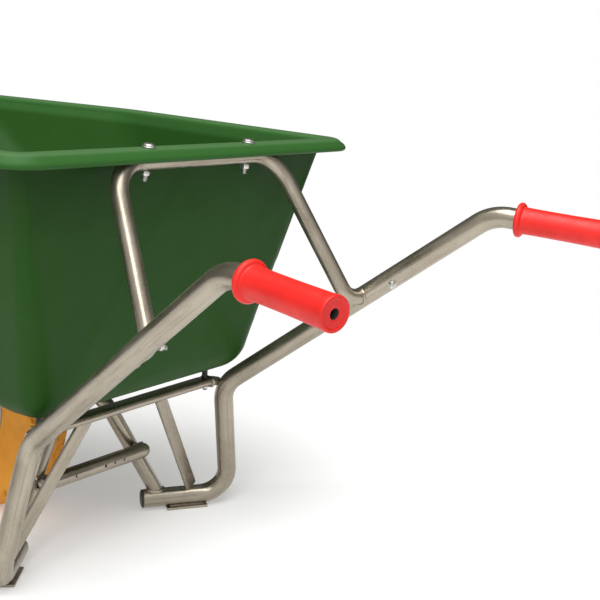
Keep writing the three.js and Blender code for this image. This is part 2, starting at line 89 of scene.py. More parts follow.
GROUND = 20.3
HANDLE_R = 16
FRAME_R = 12.5
AXLE = V(0, AXLE_FROM_BENDS, AXLE_HEIGHT)
ACROSS, UP = V(1, 0, 0), V(0, 0, 1)
FLOOR_Z = 262.0
TUB_WALL = 4.0
RIM_REAR_Z, RIM_RISE, RIM_REAR_Y = 644.0, 0.0665, -160.0
TUB_LEAN = 0.034
FLOOR_FRONT_Y, TOP_FRONT_Y = 95, 700
FRONT_BOLT_Y = 560
HUB_HALF = 50


def on_axle(x):
    return V(x, AXLE.y, AXLE.z)


def rim_z(y):
    """The height of the rim's plane, which rises towards the front."""
    return RIM_REAR_Z + RIM_RISE * (y - RIM_REAR_Y)


def place_object(name, data):
    made = bpy.data.objects.new(name, data)
    bpy.context.scene.collection.objects.link(made)
    return made


# Camera

CAMERA_AT = V(-1483.6, -1436.1, 805.2)
camera_data = bpy.data.cameras.new("camera")
camera_data.sensor_fit = "HORIZONTAL"
camera_data.sensor_width = 36
camera_data.lens = 82.19
camera = place_object("camera", camera_data)
camera.location = P(CAMERA_AT)
camera.rotation_euler = Euler((math.radians(78.88), 0, math.radians(-53.07)))
bpy.context.scene.camera = camera


# Node materials


class Nodes:
    """A small builder over the node tree of one material, or of the world."""

    def __init__(self, name, owner=None):
        self.owner = owner or bpy.data.materials.new(name)
        self.owner.use_nodes = True
        self.tree = self.owner.node_tree
        self.bsdf = self.tree.nodes.get("Principled BSDF")

    def node(self, kind, inputs=None, **settings):
        made = self.tree.nodes.new(kind)
        for key, value in settings.items():
            setattr(made, key, value)
        for key, value in (inputs or {}).items():
            self.set(made.inputs[key], value)
        return made

    def set(self, socket, value):
        if isinstance(value, bpy.types.NodeSocket):
            self.tree.links.new(value, socket)
        else:
            socket.default_value = value

    def place(self):
        return self.node("ShaderNodeTexCoord").outputs["Object"]

    def flow(self):
        return self.node("ShaderNodeAttribute", attribute_name="flow").outputs["Vector"]

    def stretched(self, vector, scale):
        return self.node("ShaderNodeMapping", {"Vector": vector, "Scale": scale}).outputs[0]

    def noise(self, vector, scale, detail=4.0, roughness=0.55):
        inputs = {"Vector": vector, "Scale": scale, "Detail": detail, "Roughness": roughness}
        return self.node("ShaderNodeTexNoise", inputs).outputs["Fac"]

    def remap(self, value, low, high, to_low=0.0, to_high=1.0):
        inputs = {"Value": value, 1: low, 2: high, 3: to_low, 4: to_high}
        return self.node("ShaderNodeMapRange", inputs).outputs[0]

    def mix(self, factor, a, b):
        made = self.node("ShaderNodeMix", data_type="RGBA")
        self.set(made.inputs["Factor"], factor)
        for socket, value in ((made.inputs[6], a), (made.inputs[7], b)):
            self.set(socket, (*value, 1) if isinstance(value, tuple) else value)
        return made.outputs[2]

    def math(self, operation, a, b):
        return self.node("ShaderNodeMath", {0: a, 1: b}, operation=operation).outputs[0]

    def bump(self, height, strength, distance, under=None):
        inputs = {"Height": height, "Strength": strength, "Distance": distance}
        if under is not None:
            inputs["Normal"] = under
        return self.node("ShaderNodeBump", inputs).outputs[0]

    def finish(self, **sockets):
        for key, value in sockets.items():
            name = key.replace("_", " ")
            if isinstance(value, tuple) and len(value) == 3:
                value = (*value, 1)
            self.set(self.bsdf.inputs[name], value)
        return self.owner


# Where the rim's plane crosses the z axis, in metres in the frame of the part.
RIM_PLANE = (RIM_REAR_Z - RIM_RISE * (RIM_REAR_Y + SHIFT_Y)) * MM


def tub_plastic():
    """Green plastic with random tone, scuffs and dust, painted shade under the rim, painted light on
    the rim and a painted highlight along its top edge.
    """
    n = Nodes("tub_plastic")
    place = n.place()
    broad = n.noise(place, 3.0, 3)
    mottled = n.noise(place, 55.0, 5, 0.6)
    scuffs = n.noise(n.stretched(place, (9, 9, 60)), 2.2, 6, 0.7)
    scuffed = n.remap(scuffs, 0.60, 0.74, 0.0, 0.5)
    dust = n.remap(n.noise(place, 11.0, 6, 0.65), 0.56, 0.72, 0.0, 0.35)
    green = n.mix(n.remap(broad, 0.3, 0.7), (0.0115, 0.052, 0.0046), (0.0145, 0.061, 0.0062))
    green = n.mix(n.remap(mottled, 0.35, 0.65, 0.0, 0.5), green, (0.0135, 0.057, 0.0056))
    green = n.mix(scuffed, green, (0.022, 0.082, 0.013))
    green = n.mix(dust, green, (0.022, 0.070, 0.014))
    x, y, z = n.node("ShaderNodeSeparateXYZ", {0: place}).outputs
    above = n.math("SUBTRACT", z, n.math("MULTIPLY", y, RIM_RISE))
    above = n.math("ADD", above, n.math("MULTIPLY", x, TUB_LEAN))
    # Painted light: a paler band over the rim, where the light from above falls on it.
    painted_rim_light = n.remap(above, RIM_PLANE - 0.026, RIM_PLANE - 0.018)
    green = n.mix(painted_rim_light, green, (0.025, 0.092, 0.018))
    # Painted shade: the rear wall just below the rim is darkened where the rim's shadow falls.
    deep = n.remap(above, RIM_PLANE - 0.13, RIM_PLANE - 0.030, 0.0, 0.6)
    deep = n.math("MULTIPLY", deep, n.math("SUBTRACT", 1.0, painted_rim_light))
    deep = n.math("MULTIPLY", deep, n.remap(y, -0.125, -0.095, 1.0, 0.0))
    green = n.mix(deep, green, (0.008, 0.036, 0.004))
    # Painted highlight: a pale thin band along the rim's top edge.
    painted_rim_highlight = n.remap(above, RIM_PLANE - 0.0050, RIM_PLANE - 0.0015, 0.0, 0.55)
    green = n.mix(painted_rim_highlight, green, (0.075, 0.150, 0.062))
    grain = n.noise(place, 900.0, 3, 0.6)
    rough = n.remap(n.noise(place, 24.0, 5), 0.3, 0.7, 0.40, 0.52)
    relief = n.bump(n.noise(place, 7.0, 2), 0.25, 0.004)
    normal = n.bump(grain, 0.10, 0.0006, relief)
    return n.finish(Base_Color=green, Roughness=rough, Normal=normal, Specular_IOR_Level=0.11)


def galvanised():
    """Dipped zinc: long streaks and drips that follow the tube, and a fine spangle."""
    n = Nodes("galvanised_tube")
    flow = n.flow()
    streaks = n.noise(n.stretched(flow, (6, 160, 160)), 1.0, 5, 0.6)
    clouds = n.noise(n.stretched(flow, (14, 24, 24)), 1.0, 4, 0.6)
    spangle = n.node("ShaderNodeTexVoronoi", {"Vector": flow, "Scale": 170.0}).outputs["Color"]
    grey, pale, dull = (0.315, 0.274, 0.212), (0.40, 0.356, 0.290), (0.21, 0.182, 0.146)
    colour = n.mix(n.remap(clouds, 0.35, 0.68), grey, pale)
    colour = n.mix(n.remap(streaks, 0.52, 0.70, 0.0, 0.7), colour, dull)
    grains = n.node("ShaderNodeSeparateColor", {"Color": spangle}).outputs[0]
    colour = n.mix(n.remap(grains, 0.0, 1.0, 0.0, 0.18), colour, pale)
    stain = n.remap(n.noise(n.stretched(flow, (40, 60, 60)), 1.0, 6, 0.7), 0.64, 0.76, 0, 0.45)
    colour = n.mix(stain, colour, (0.20, 0.17, 0.13))
    rough = n.remap(n.math("ADD", streaks, clouds), 0.75, 1.3, 0.21, 0.42)
    ripples = n.bump(n.noise(n.stretched(flow, (20, 60, 60)), 1.0, 3), 0.35, 0.0012)
    drips = n.noise(n.stretched(flow, (90, 200, 200)), 1.0, 4, 0.65)
    normal = n.bump(drips, 0.22, 0.0005, ripples)
    return n.finish(Base_Color=colour, Metallic=0.92, Roughness=rough, Normal=normal)


def zinc_bolt():
    n = Nodes("zinc_bolt")
    place = n.place()
    worn = n.remap(n.noise(place, 160.0, 5, 0.6), 0.4, 0.65)
    colour = n.mix(worn, (0.66, 0.65, 0.62), (0.46, 0.45, 0.42))
    rough = n.remap(n.noise(place, 320.0, 3), 0.3, 0.7, 0.20, 0.42)
    normal = n.bump(n.noise(place, 900.0, 3), 0.2, 0.0002)
    return n.finish(Base_Color=colour, Metallic=0.95, Roughness=rough, Normal=normal)


def grip_plastic():
    n = Nodes("grip_plastic")
    place = n.place()
    cloud = n.noise(place, 30.0, 4, 0.6)
    colour = n.mix(n.remap(cloud, 0.35, 0.65), (0.68, 0.019, 0.013), (0.60, 0.014, 0.010))
    dirt = n.remap(n.noise(place, 70.0, 6, 0.7), 0.60, 0.74, 0.0, 0.35)
    colour = n.mix(dirt, colour, (0.50, 0.012, 0.014))
    rough = n.remap(n.noise(place, 60.0, 4), 0.3, 0.7, 0.34, 0.5)
    soft = n.bump(n.noise(place, 26.0, 2), 0.25, 0.002)
    normal = n.bump(n.noise(place, 700.0, 3, 0.6), 0.14, 0.0005, soft)
    made = n.finish(Base_Color=colour, Roughness=rough, Normal=normal, Specular_IOR_Level=0.32)
    n.bsdf.inputs["Subsurface Weight"].default_value = 0.06
    n.bsdf.inputs["Subsurface Radius"].default_value = (0.9, 0.15, 0.1)
    n.bsdf.inputs["Subsurface Scale"].default_value = 0.004
    return made


def tyre_foam():
    n = Nodes("tyre_solid")
    place = n.place()
    cloud = n.noise(place, 16.0, 5, 0.6)
    colour = n.mix(n.remap(cloud, 0.35, 0.65), (0.74, 0.30, 0.008), (0.64, 0.24, 0.006))
    dust = n.remap(n.noise(place, 60.0, 6, 0.7), 0.56, 0.72, 0.0, 0.5)
    colour = n.mix(dust, colour, (0.50, 0.24, 0.05))
    pores = n.node("ShaderNodeTexVoronoi", {"Vector": place, "Scale": 520.0}).outputs["Distance"]
    rough = n.remap(cloud, 0.3, 0.7, 0.55, 0.75)
    normal = n.bump(pores, 0.18, 0.0006, n.bump(cloud, 0.2, 0.002))
    return n.finish(Base_Color=colour, Roughness=rough, Normal=normal)


def rim_paint():
    n = Nodes("rim_steel")
    place = n.place()
    peel = n.noise(place, 420.0, 3)
    cloud = n.noise(place, 20.0, 5)
    colour = n.mix(n.remap(cloud, 0.35, 0.65), (0.42, 0.43, 0.44), (0.34, 0.35, 0.36))
    grime = n.remap(n.noise(place, 55.0, 6, 0.7), 0.58, 0.74, 0.0, 0.6)
    colour = n.mix(grime, colour, (0.20, 0.18, 0.15))
    rough = n.remap(cloud, 0.3, 0.7, 0.32, 0.5)
    return n.finish(
        Base_Color=colour, Metallic=0.35, Roughness=rough, Normal=n.bump(peel, 0.12, 0.0005)
    )


# Black plastic for the foot plugs and the floor spacers; the same black is also painted shade inside
# the vent holes and the grip holes.
def black_plastic():
    n = Nodes("black_plastic")
    place = n.place()
    cloud = n.noise(place, 60.0, 5)
    colour = n.mix(n.remap(cloud, 0.3, 0.7), (0.016, 0.016, 0.016), (0.03, 0.03, 0.03))
    rough = n.remap(cloud, 0.3, 0.7, 0.42, 0.62)
    return n.finish(
        Base_Color=colour, Roughness=rough, Normal=n.bump(n.noise(place, 800.0), 0.2, 0.0004)
    )


LOOKS = {
    "tub_plastic": tub_plastic(),
    "galvanised_tube": galvanised(),
    "zinc_bolt": zinc_bolt(),
    "grip_plastic": grip_plastic(),
    "tyre_solid": tyre_foam(),
    "rim_steel": rim_paint(),
    "black_plastic": black_plastic(),
}


# Mesh making


class Shape:
    """Vertices in millimetres, faces, and a flow coordinate for streaks that follow a tube."""

    def __init__(self, verts=(), faces=(), flow=None):
        self.verts = []
        self.faces = []
        self.flow = []
        self.add(verts, faces, flow)

    def add(self, verts, faces, flow=None):
        start = len(self.verts)
        self.verts += [Vector(v) for v in verts]
        self.faces += [tuple(start + i for i in f) for f in faces]
        self.flow += flow if flow else [Vector(v) * MM for v in verts]

    def join(self, other):
        self.add(other.verts, other.faces, other.flow)
        return self


def build(name, shape, slot, body, nodes, sharp=32):
    mesh = bpy.data.meshes.new(name)
    mesh.from_pydata([P(v) for v in shape.verts], [], shape.faces)
    attribute = mesh.attributes.new("flow", "FLOAT_VECTOR", "POINT")
    attribute.data.foreach_set("vector", [c for v in shape.flow for c in v])
    for polygon in mesh.polygons:
        polygon.use_smooth = True
    mesh.set_sharp_from_angle(angle=math.radians(sharp))
    mesh.materials.append(LOOKS[slot])
    piece = place_object(name, mesh)
    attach(piece, body)
    if nodes:
        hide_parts(*nodes)
    return piece


def stand_in(node, shape, slot="zinc_bolt", body="frame"):
    """A piece that is named after the one node of the pack that it replaces."""
    build(node + "_look", shape, slot, body, [node])


def across(direction, hint=None):
    """Two unit vectors square to the direction."""
    d = direction.normalized()
    hint = hint or (UP if abs(d.z) < 0.9 else V(0, 1, 0))
    u = (hint - d * hint.dot(d)).normalized()
    return u, d.cross(u)


def bent_route(points, radii, step_degrees=4.0, spacing=14.0):
    """Stations along straight runs joined by round bends, each with the tangent there."""
    stations = []

    def straight(a, b):
        count = max(1, int((b - a).length / spacing))
        for k in range(count):
            stations.append(a.lerp(b, k / count))

    last = points[0]
    for i in range(1, len(points) - 1):
        corner = points[i]
        u = (points[i - 1] - corner).normalized()
        w = (points[i + 1] - corner).normalized()
        half = u.angle(w) / 2
        radius = radii[i - 1]
        reach = radius / math.tan(half)
        centre = corner + (u + w).normalized() * (radius / math.sin(half))
        start = corner + u * reach
        straight(last, start)
        axis = u.cross(w).normalized()
        turn = math.pi - 2 * half
        count = max(3, int(math.degrees(turn) / step_degrees))
        for k in range(count):
            spin = Quaternion(axis, -turn * k / count)
            arm = start - centre
            arm.rotate(spin)
            stations.append(centre + arm)
        last = corner + w * reach
    straight(last, points[-1])
    stations.append(points[-1])
    return stations


def tangents(stations):
    out = []
    for i, here in enumerate(stations):
        before = stations[max(i - 1, 0)]
        after = stations[min(i + 1, len(stations) - 1)]
        a = (here - before).normalized() if i else V(0, 0, 0)
        b = (after - here).normalized() if i < len(stations) - 1 else V(0, 0, 0)
        out.append((a + b).normalized())
    return out


def skin(rings, count, closed_ends=True):
    """The faces between rings of so many points each, and those over the two ends."""
    faces = []
    for i in range(rings - 1):
        for k in range(count):
            a, b = i * count + k, i * count + (k + 1) % count
            faces.append((a, b, b + count, a + count))
    if closed_ends:
        faces.append(tuple(range(count))[::-1])
        faces.append(tuple((rings - 1) * count + k for k in range(count)))
    return faces


def sweep(stations, profile, closed_ends=True, scale=None):
    """A skin over a profile of (u, v) points carried along the stations without twist."""
    ways = tangents(stations)
    u, _ = across(ways[0])
    verts, flow = [], []
    along = 0.0
    for i, (here, way) in enumerate(zip(stations, ways)):
        if i:
            along += (here - stations[i - 1]).length
            u.rotate(ways[i - 1].rotation_difference(way))
            u = (u - way * u.dot(way)).normalized()
        w = way.cross(u)
        size = scale(along, i) if scale else 1.0
        for a, b in profile:
            verts.append(here + u * (a * size) + w * (b * size))
            flow.append(V(along, a, b) * MM)
    return Shape(verts, skin(len(stations), len(profile), closed_ends), flow)


def circle(radius, count=32):
    return [
        (radius * math.cos(2 * math.pi * k / count), radius * math.sin(2 * math.pi * k / count))
        for k in range(count)
    ]


def open_tube(stations, radius, wall, depth, sides=32):
    """A round tube with open mouths that show its wall and the dark inside."""
    shape = sweep(stations, circle(radius, sides), closed_ends=False)
    inner = radius - wall
    mouth = [(radius, 0), (radius - 0.3, 0.35), (inner + 0.3, 0.35), (inner, 0)]
    mouth += [(inner, -depth * 0.5), (inner, -depth), (0, -depth)]
    ways = tangents(stations)
    for end, way in ((stations[0], ways[0] * -1), (stations[-1], ways[-1])):
        shape.join(turned(mouth, sides, end, way))
    return shape


def turned(profile, segments, origin, direction, start_hint=None):
    """A lathe piece: profile of (radius, distance along the direction), ends on the axis closed."""
    u, w = across(direction, start_hint)
    d = direction.normalized()
    rows = []
    verts = []
    for r, s in profile:
        if r < 1e-6:
            rows.append([len(verts)])
            verts.append(origin + d * s)
            continue
        row = []
        for k in range(segments):
            angle = 2 * math.pi * k / segments
            row.append(len(verts))
            verts.append(origin + d * s + (u * math.cos(angle) + w * math.sin(angle)) * r)
        rows.append(row)
    faces = []
    for low, high in zip(rows, rows[1:]):
        if len(low) == 1 and len(high) == 1:
            continue
        for k in range(segments):
            n = (k + 1) % segments
            if len(low) == 1:
                faces.append((low[0], high[n], high[k]))
            elif len(high) == 1:
                faces.append((low[k], low[n], high[0]))
            else:
                faces.append((low[k], low[n], high[n], high[k]))
    return Shape(verts, faces)


def rounded_profile(points, radius, steps=4):
    """A 2-D profile with rounded inner corners; a third number is a corner's own radius."""
    out = [Vector(points[0][:2])]
    for i in range(1, len(points) - 1):
        here = Vector(points[i][:2])
        before, after = Vector(points[i - 1][:2]), Vector(points[i + 1][:2])
        r = points[i][2] if len(points[i]) > 2 else radius
        u, w = before - here, after - here
        reach = min(r, u.length * 0.45, w.length * 0.45)
        a, b = here + u.normalized() * reach, here + w.normalized() * reach
        for k in range(steps + 1):
            t = k / steps
            out.append(a * (1 - t) ** 2 + here * 2 * t * (1 - t) + b * t ** 2)
    out.append(Vector(points[-1][:2]))
    return [(v.x, v.y) for v in out]


def hex_nut(across_flats, bore, height, origin, direction):
    """A chamfered hexagon nut with a countersunk bore."""
    u, w = across(direction)
    d = direction.normalized()
    apothem = across_flats / 2
    steps = 48
    rows = [(bore, 0.8), (bore + 0.8, 0), ("cut", 0), ("hex", height * 0.14)]
    rows += [("hex", height * 0.86), ("cut", height), (bore + 0.8, height), (bore, height - 0.8)]
    verts = []
    for kind, s in rows:
        for k in range(steps):
            angle = 2 * math.pi * k / steps
            hexagon = apothem / math.cos((angle % (math.pi / 3)) - math.pi / 6)
            r = {"hex": hexagon, "cut": apothem * 0.97}.get(kind, kind)
            if kind == "hex":
                s_here = s + (hexagon - apothem) * (0.55 if s < height / 2 else -0.55)
            else:
                s_here = s
            verts.append(origin + d * s_here + (u * math.cos(angle) + w * math.sin(angle)) * r)
    faces = []
    count = len(rows)
    for i in range(count):
        for k in range(steps):
            a = i * steps + k
            b = i * steps + (k + 1) % steps
            c = ((i + 1) % count) * steps
            faces.append((a, b, c + (k + 1) % steps, c + k))
    return Shape(verts, faces)


def threaded(radius, low, high, pitch=1.25):
    """Profile points of a thread between two distances along a shank."""
    points = []
    s = low
    while s + pitch <= high:
        points += [(radius - 0.55, s + pitch * 0.12), (radius, s + pitch * 0.5)]
        points += [(radius, s + pitch * 0.62), (radius - 0.55, s + pitch * 0.98)]
        s += pitch
    return points


def domed_bolt(head_r, shank_r, shank, origin, direction, thread=24.0):
    """A pan-headed bolt: head on the origin, shank back along the direction."""
    profile = [(0, -shank), (shank_r - 0.9, -shank), (shank_r - 0.2, -shank + 0.8)]
    profile += threaded(shank_r, -shank + 1.0, -shank + thread)
    profile += [(shank_r, -shank + thread + 1), (shank_r, 0), (head_r - 0.4, 0)]
    profile += [(head_r, 0.4), (head_r, 1.3)]
    for k in range(1, 10):
        angle = k / 9 * math.pi / 2
        profile.append((head_r * math.cos(angle) ** 0.8, 1.3 + 2.6 * math.sin(angle)))
    profile[-1] = (0, 3.9)
    return turned(profile, 36, origin, direction)


def washer(inner, outer, height, origin, direction):
    rim = min(0.5, height * 0.3)
    profile = [
        (inner, rim), (inner + rim, 0), (outer - rim, 0), (outer, rim),
        (outer, height - rim), (outer - rim, height), (inner + rim, height),
        (inner, height - rim), (inner, rim),
    ]
    return turned(profile, 40, origin, direction)


def bead(path, radius, closed=True, ripple=3.4):
    """A weld bead laid along a path, with the overlapping scales a torch leaves."""
    dense = []
    count = len(path)
    for i in range(count if closed else count - 1):
        a, b = path[i], path[(i + 1) % count]
        steps = max(1, int((b - a).length / 1.1))
        dense += [a.lerp(b, k / steps) for k in range(steps)]
    if not closed:
        dense.append(path[-1])
    wander = [rng.uniform(0.9, 1.12) for _ in range(len(dense) // 4 + 2)]

    def size(along, i):
        scale = 1 + 0.10 * abs(math.sin(along / ripple * math.pi))
        return scale * wander[i // 4]

    if closed:
        dense += [dense[0], dense[1]]
    return sweep(dense, circle(radius, 10), closed_ends=True, scale=size)


# Handles, legs and grips

LEG_BEND = V(213, 0, 225)
GRIP_BEND = V(308, -448, 536)
GRIP_END = V(344, -626, 515)
SKID_OUTER = V(259, 31, GROUND)
SKID_INNER = V(140, 120, GROUND)
GRIP_LENGTH = 144
GRIP_WAY = (GRIP_END - GRIP_BEND).normalized()


def handle_tube(sign):
    points = [GRIP_END - GRIP_WAY * 6, GRIP_BEND, LEG_BEND, SKID_OUTER, SKID_INNER]
    points = [on_side(p, sign) for p in points]
    return open_tube(bent_route(points, [70, 60, 45]), HANDLE_R, 2, 30.0, 40)


def grip(sign):
    end = on_side(GRIP_END, sign)
    way = on_side(GRIP_WAY, sign)
    start = end - way * GRIP_LENGTH
    length = GRIP_LENGTH
    outline = [
        (16.4, 3.0), (16.4, 0.0, 1.0), (23.4, 0.0, 3.6), (26.0, 2.2, 3.0),
        (26.0, 6.2, 3.0), (23.6, 8.8, 2.4), (20.8, 9.4, 3.0), (19.9, 14.0, 4.0),
        (19.7, 40.0, 8.0), (20.0, 86.0, 8.0), (20.5, length - 12.0, 6.0),
        (21.3, length - 5.0, 3.4), (20.9, length, 4.0), (17.4, length + 0.2, 1.6),
        (16.0, length - 1.0, 1.2), (9.0, length - 1.0, 1.0), (6.4, length - 1.4, 0.9),
        (6.3, length - 4.0, 0.5),
    ]
    profile = rounded_profile(outline, 1.0)
    shape = turned(profile, 72, start, way)
    u, w = across(way)
    for v in shape.verts:
        rel = v - start
        s = rel.dot(way)
        radial = rel - way * s
        r = radial.length
        if 12 < s < length - 8 and r > 18:
            angle = math.atan2(radial.dot(w), radial.dot(u))
            dimple = 0.16 * math.sin(angle * 2 + 0.6) + 0.10 * math.sin(s / 17.0)
            seam = 0.22 * math.exp(-((abs(math.sin(angle)) / 0.035) ** 2))
            v += radial / r * (dimple + seam)
    return shape


# Painted shade: a black lining in the grip's end hole stands for the shaded inside of the handle
# tube.
def grip_hole_shade(sign):
    way = on_side(GRIP_WAY, sign)
    start = on_side(GRIP_END, sign) - way * GRIP_LENGTH
    hole = [(6.3, GRIP_LENGTH - 1.9), (5.9, GRIP_LENGTH - 3.0), (5.9, GRIP_LENGTH - 50)]
    return turned(hole + [(0, GRIP_LENGTH - 50)], 40, start, way)


def foot_plug(sign):
    at = on_side(SKID_INNER, sign)
    way = on_side(SKID_INNER - SKID_OUTER, sign)
    outline = [(0, -14), (13.4, -14, 0.5), (13.4, 0.3, 0.2), (15.6, 0.4, 0.5), (15.6, 2.2, 1.2)]
    outline += [(13.0, 4.0, 1.2), (0, 4.4)]
    return turned(rounded_profile(outline, 0.5), 40, at, way)


def rounded_bar(low, high, width, height, round_r, hint):
    """A straight bar with rounded long edges, its width square to the hint."""
    profile = rounded_rectangle(width, height, round_r)
    count = max(2, int((high - low).length / 12))
    stations = [low.lerp(high, k / count) for k in range(count + 1)]
    d = (high - low).normalized()
    u = (hint - d * hint.dot(d)).normalized()
    w = d.cross(u)
    verts, flow = [], []
    for s in stations:
        for a, b in profile:
            verts.append(s + w * a + u * b)
            flow.append(V((s - low).length, a, b) * MM)
    return Shape(verts, skin(len(stations), len(profile)), flow)


def rounded_rectangle(width, height, r, steps=5):
    points = []
    for cx, cy, first in (
        (width / 2 - r, height / 2 - r, 0),
        (-width / 2 + r, height / 2 - r, 90),
        (-width / 2 + r, -height / 2 + r, 180),
        (width / 2 - r, -height / 2 + r, 270),
    ):
        for k in range(steps + 1):
            angle = math.radians(first + 90 * k / steps)
            points.append((cx + r * math.cos(angle), cy + r * math.sin(angle)))
    return points


def foot_plate(sign):
    way = on_side((SKID_INNER - SKID_OUTER).normalized(), sign)
    middle = on_side(SKID_OUTER.lerp(SKID_INNER, 0.5), sign)
    half = way * 35
    centre = V(middle.x, middle.y, 2.0)
    shape = rounded_bar(centre - half, centre + half, 32, 4, 1.2, UP)
    side = UP.cross(way).normalized()
    for edge in (-1, 1):
        at = V(middle.x, middle.y, 4.6) + side * (edge * 5.5)
        path = [at + way * (k * 5.0) for k in range(-6, 7)]
        shape.join(bead(path, 2.2, closed=False))
    return shape


# Frame tubes

FORK_X, FORK_Z, FORK_END = 66, 232, 436
STAY_TOP = V(52, 118, 216)
STAY_FOOT = V(168, 108, GROUND)
FORK_POINTS = [STAY_FOOT, STAY_TOP, V(FORK_X, 205, FORK_Z - 2), V(FORK_X, FORK_END, FORK_Z)]
BAR_Y, BAR_Z, BAR_WIDTH, BAR_HEIGHT = 14, 235, 30, 14
HOOP_TOP = V(173, -139.5, 626.5)
HOOP_KNEE = V(220, -244, 403)
HOOP_FOOT = LEG_BEND.lerp(GRIP_BEND, 0.548)
STAY_CROSS_Z = 121
STAY_CROSS_HALF = 119


def trimmed_tube(points, radii, radius, start_other, end_other=None, share=1.35):
    """A tube whose start, and end if it meets a tube too, is coped to fit round the other tube."""
    sides = 32
    stations = bent_route(points, radii)[::-1]
    stations = cope(stations, radius, *start_other, share=share)[::-1]
    if end_other:
        stations = cope(stations, radius, *end_other, share=share)
    shape = sweep(stations, circle(radius, sides), closed_ends=False)
    last = (len(stations) - 1) * sides
    if end_other:
        fit_ring(shape, last, sides, stations[-1] - stations[-2], end_other)
    else:
        shape.faces.append(tuple(last + k for k in range(sides)))
    fit_ring(shape, 0, sides, stations[0] - stations[1], start_other)
    return shape


def cope(stations, radius, other_at, other_way, other_r, share=1.35):
    """The stations up to where every point of the tube is still clear of the other tube."""
    e = other_way.normalized()

    def gap(p):
        rel = p - other_at
        return (rel - e * rel.dot(e)).length

    kept = [s for s in stations if gap(s) > other_r + radius * share]
    return kept + [kept[-1] + (kept[-1] - kept[-2]).normalized() * 1.0]


def fit_ring(shape, first, sides, way, other):
    """Slides the ring's points along the tube until they touch the other tube."""
    other_at, other_way, other_r = other
    e = other_way.normalized()
    d = way.normalized()
    dd = d - e * d.dot(e)
    for k in range(first, first + sides):
        rel = shape.verts[k] - other_at
        rel = rel - e * rel.dot(e)
        a, b, c = dd.dot(dd), 2 * rel.dot(dd), rel.dot(rel) - (other_r + 0.1) ** 2
        root = b * b - 4 * a * c
        if root < 0:
            t = -b / (2 * a)
        else:
            t = (-b - math.sqrt(root)) / (2 * a)
        shape.verts[k] = shape.verts[k] + d * t


def weld_ring(shape, first, sides, radius):
    """A weld bead round one ring of the shape's points."""
    return shape.join(bead([v.copy() for v in shape.verts[first:first + sides]], radius))


def weld_mouths(shape, sides, radius):
    last = len(shape.verts) - sides
    for first in (0, last):
        weld_ring(shape, first, sides, radius)
    return shape


def fork_tube(sign):
    points = [on_side(p, sign) for p in FORK_POINTS]
    skid = (on_side(SKID_OUTER, sign), on_side(SKID_INNER - SKID_OUTER, sign), HANDLE_R)
    shape = trimmed_tube(points, [30, 60], FRAME_R, skid)
    return weld_ring(shape, 0, 32, 2.4)


def support_hoop():
    points = [HOOP_FOOT, HOOP_KNEE, HOOP_TOP]
    points += [flip(p) for p in points[::-1]]
    handle = GRIP_BEND - LEG_BEND
    start = (LEG_BEND, handle, HANDLE_R)
    end = (flip(LEG_BEND), flip(handle), HANDLE_R)
    shape = trimmed_tube(points, [22, 62, 62, 22], FRAME_R, start, end, share=0.55)
    weld_mouths(shape, 32, 2.3)
    low = HOOP_KNEE.z
    for v in shape.verts:
        rise = clamp((v.z - low) / (HOOP_TOP.z - low))
        v.z -= TUB_LEAN * v.x * rise
    return shape


def cross_bar():
    """An oval bar, pressed narrower at its ends, that runs into the two leg bends."""
    half = BAR_HEIGHT / 2
    flat = BAR_WIDTH / 2 - half
    profile = []
    for centre, first in ((flat, -math.pi / 2), (-flat, math.pi / 2)):
        for k in range(17):
            angle = first + math.pi * k / 16
            profile.append((centre + half * math.cos(angle), half * math.sin(angle)))
    reach, pressed_from = 207.0, 172
    count = 44
    n = len(profile)
    verts, flow = [], []
    for i in range(count + 1):
        x = -reach + 2 * reach * i / count
        edge = max(0.0, (abs(x) - pressed_from) / (reach - pressed_from))
        squeeze = 1 - 0.34 * edge * edge
        for a, b in profile:
            y = BAR_Y + a * squeeze - 5.0 * edge * edge
            verts.append(V(x, y, BAR_Z + b - 3.0 * edge * edge))
            flow.append(V(x, a, b) * MM)
    shape = Shape(verts, skin(count + 1, n), flow)
    for first in (n * 2, n * (count - 2)):
        weld_ring(shape, first, n, 2.4)
    return shape


def leg_brace(sign):
    top = on_side(V(82, BAR_Y + 8, BAR_Z - BAR_HEIGHT / 2 - 0.3), sign)
    foot = on_side(V(211, 70, GROUND + 6), sign)
    way = (top - foot).normalized()
    foot = foot + way * 14
    hint = V(0, 1, 0)
    shape = rounded_bar(foot, top, 25, 6.4, 2.9, hint)
    for v in shape.verts:
        v.z = min(v.z, BAR_Z - BAR_HEIGHT / 2 - 0.2)
    u = (hint - way * hint.dot(way)).normalized()
    side = way.cross(u)
    for edge in (-1, 1):
        path = [top + side * (12.5 * k / 6) + u * (edge * 3.6) for k in range(-6, 7)]
        path = [V(v.x, v.y, BAR_Z - BAR_HEIGHT / 2 - 1.8) for v in path]
        shape.join(bead(path, 2.0, closed=False))
    return shape


def stay_cross_y():
    low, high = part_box("stay_cross_tube")
    return ((low[1] + high[1]) / 2) / MM - SHIFT_Y


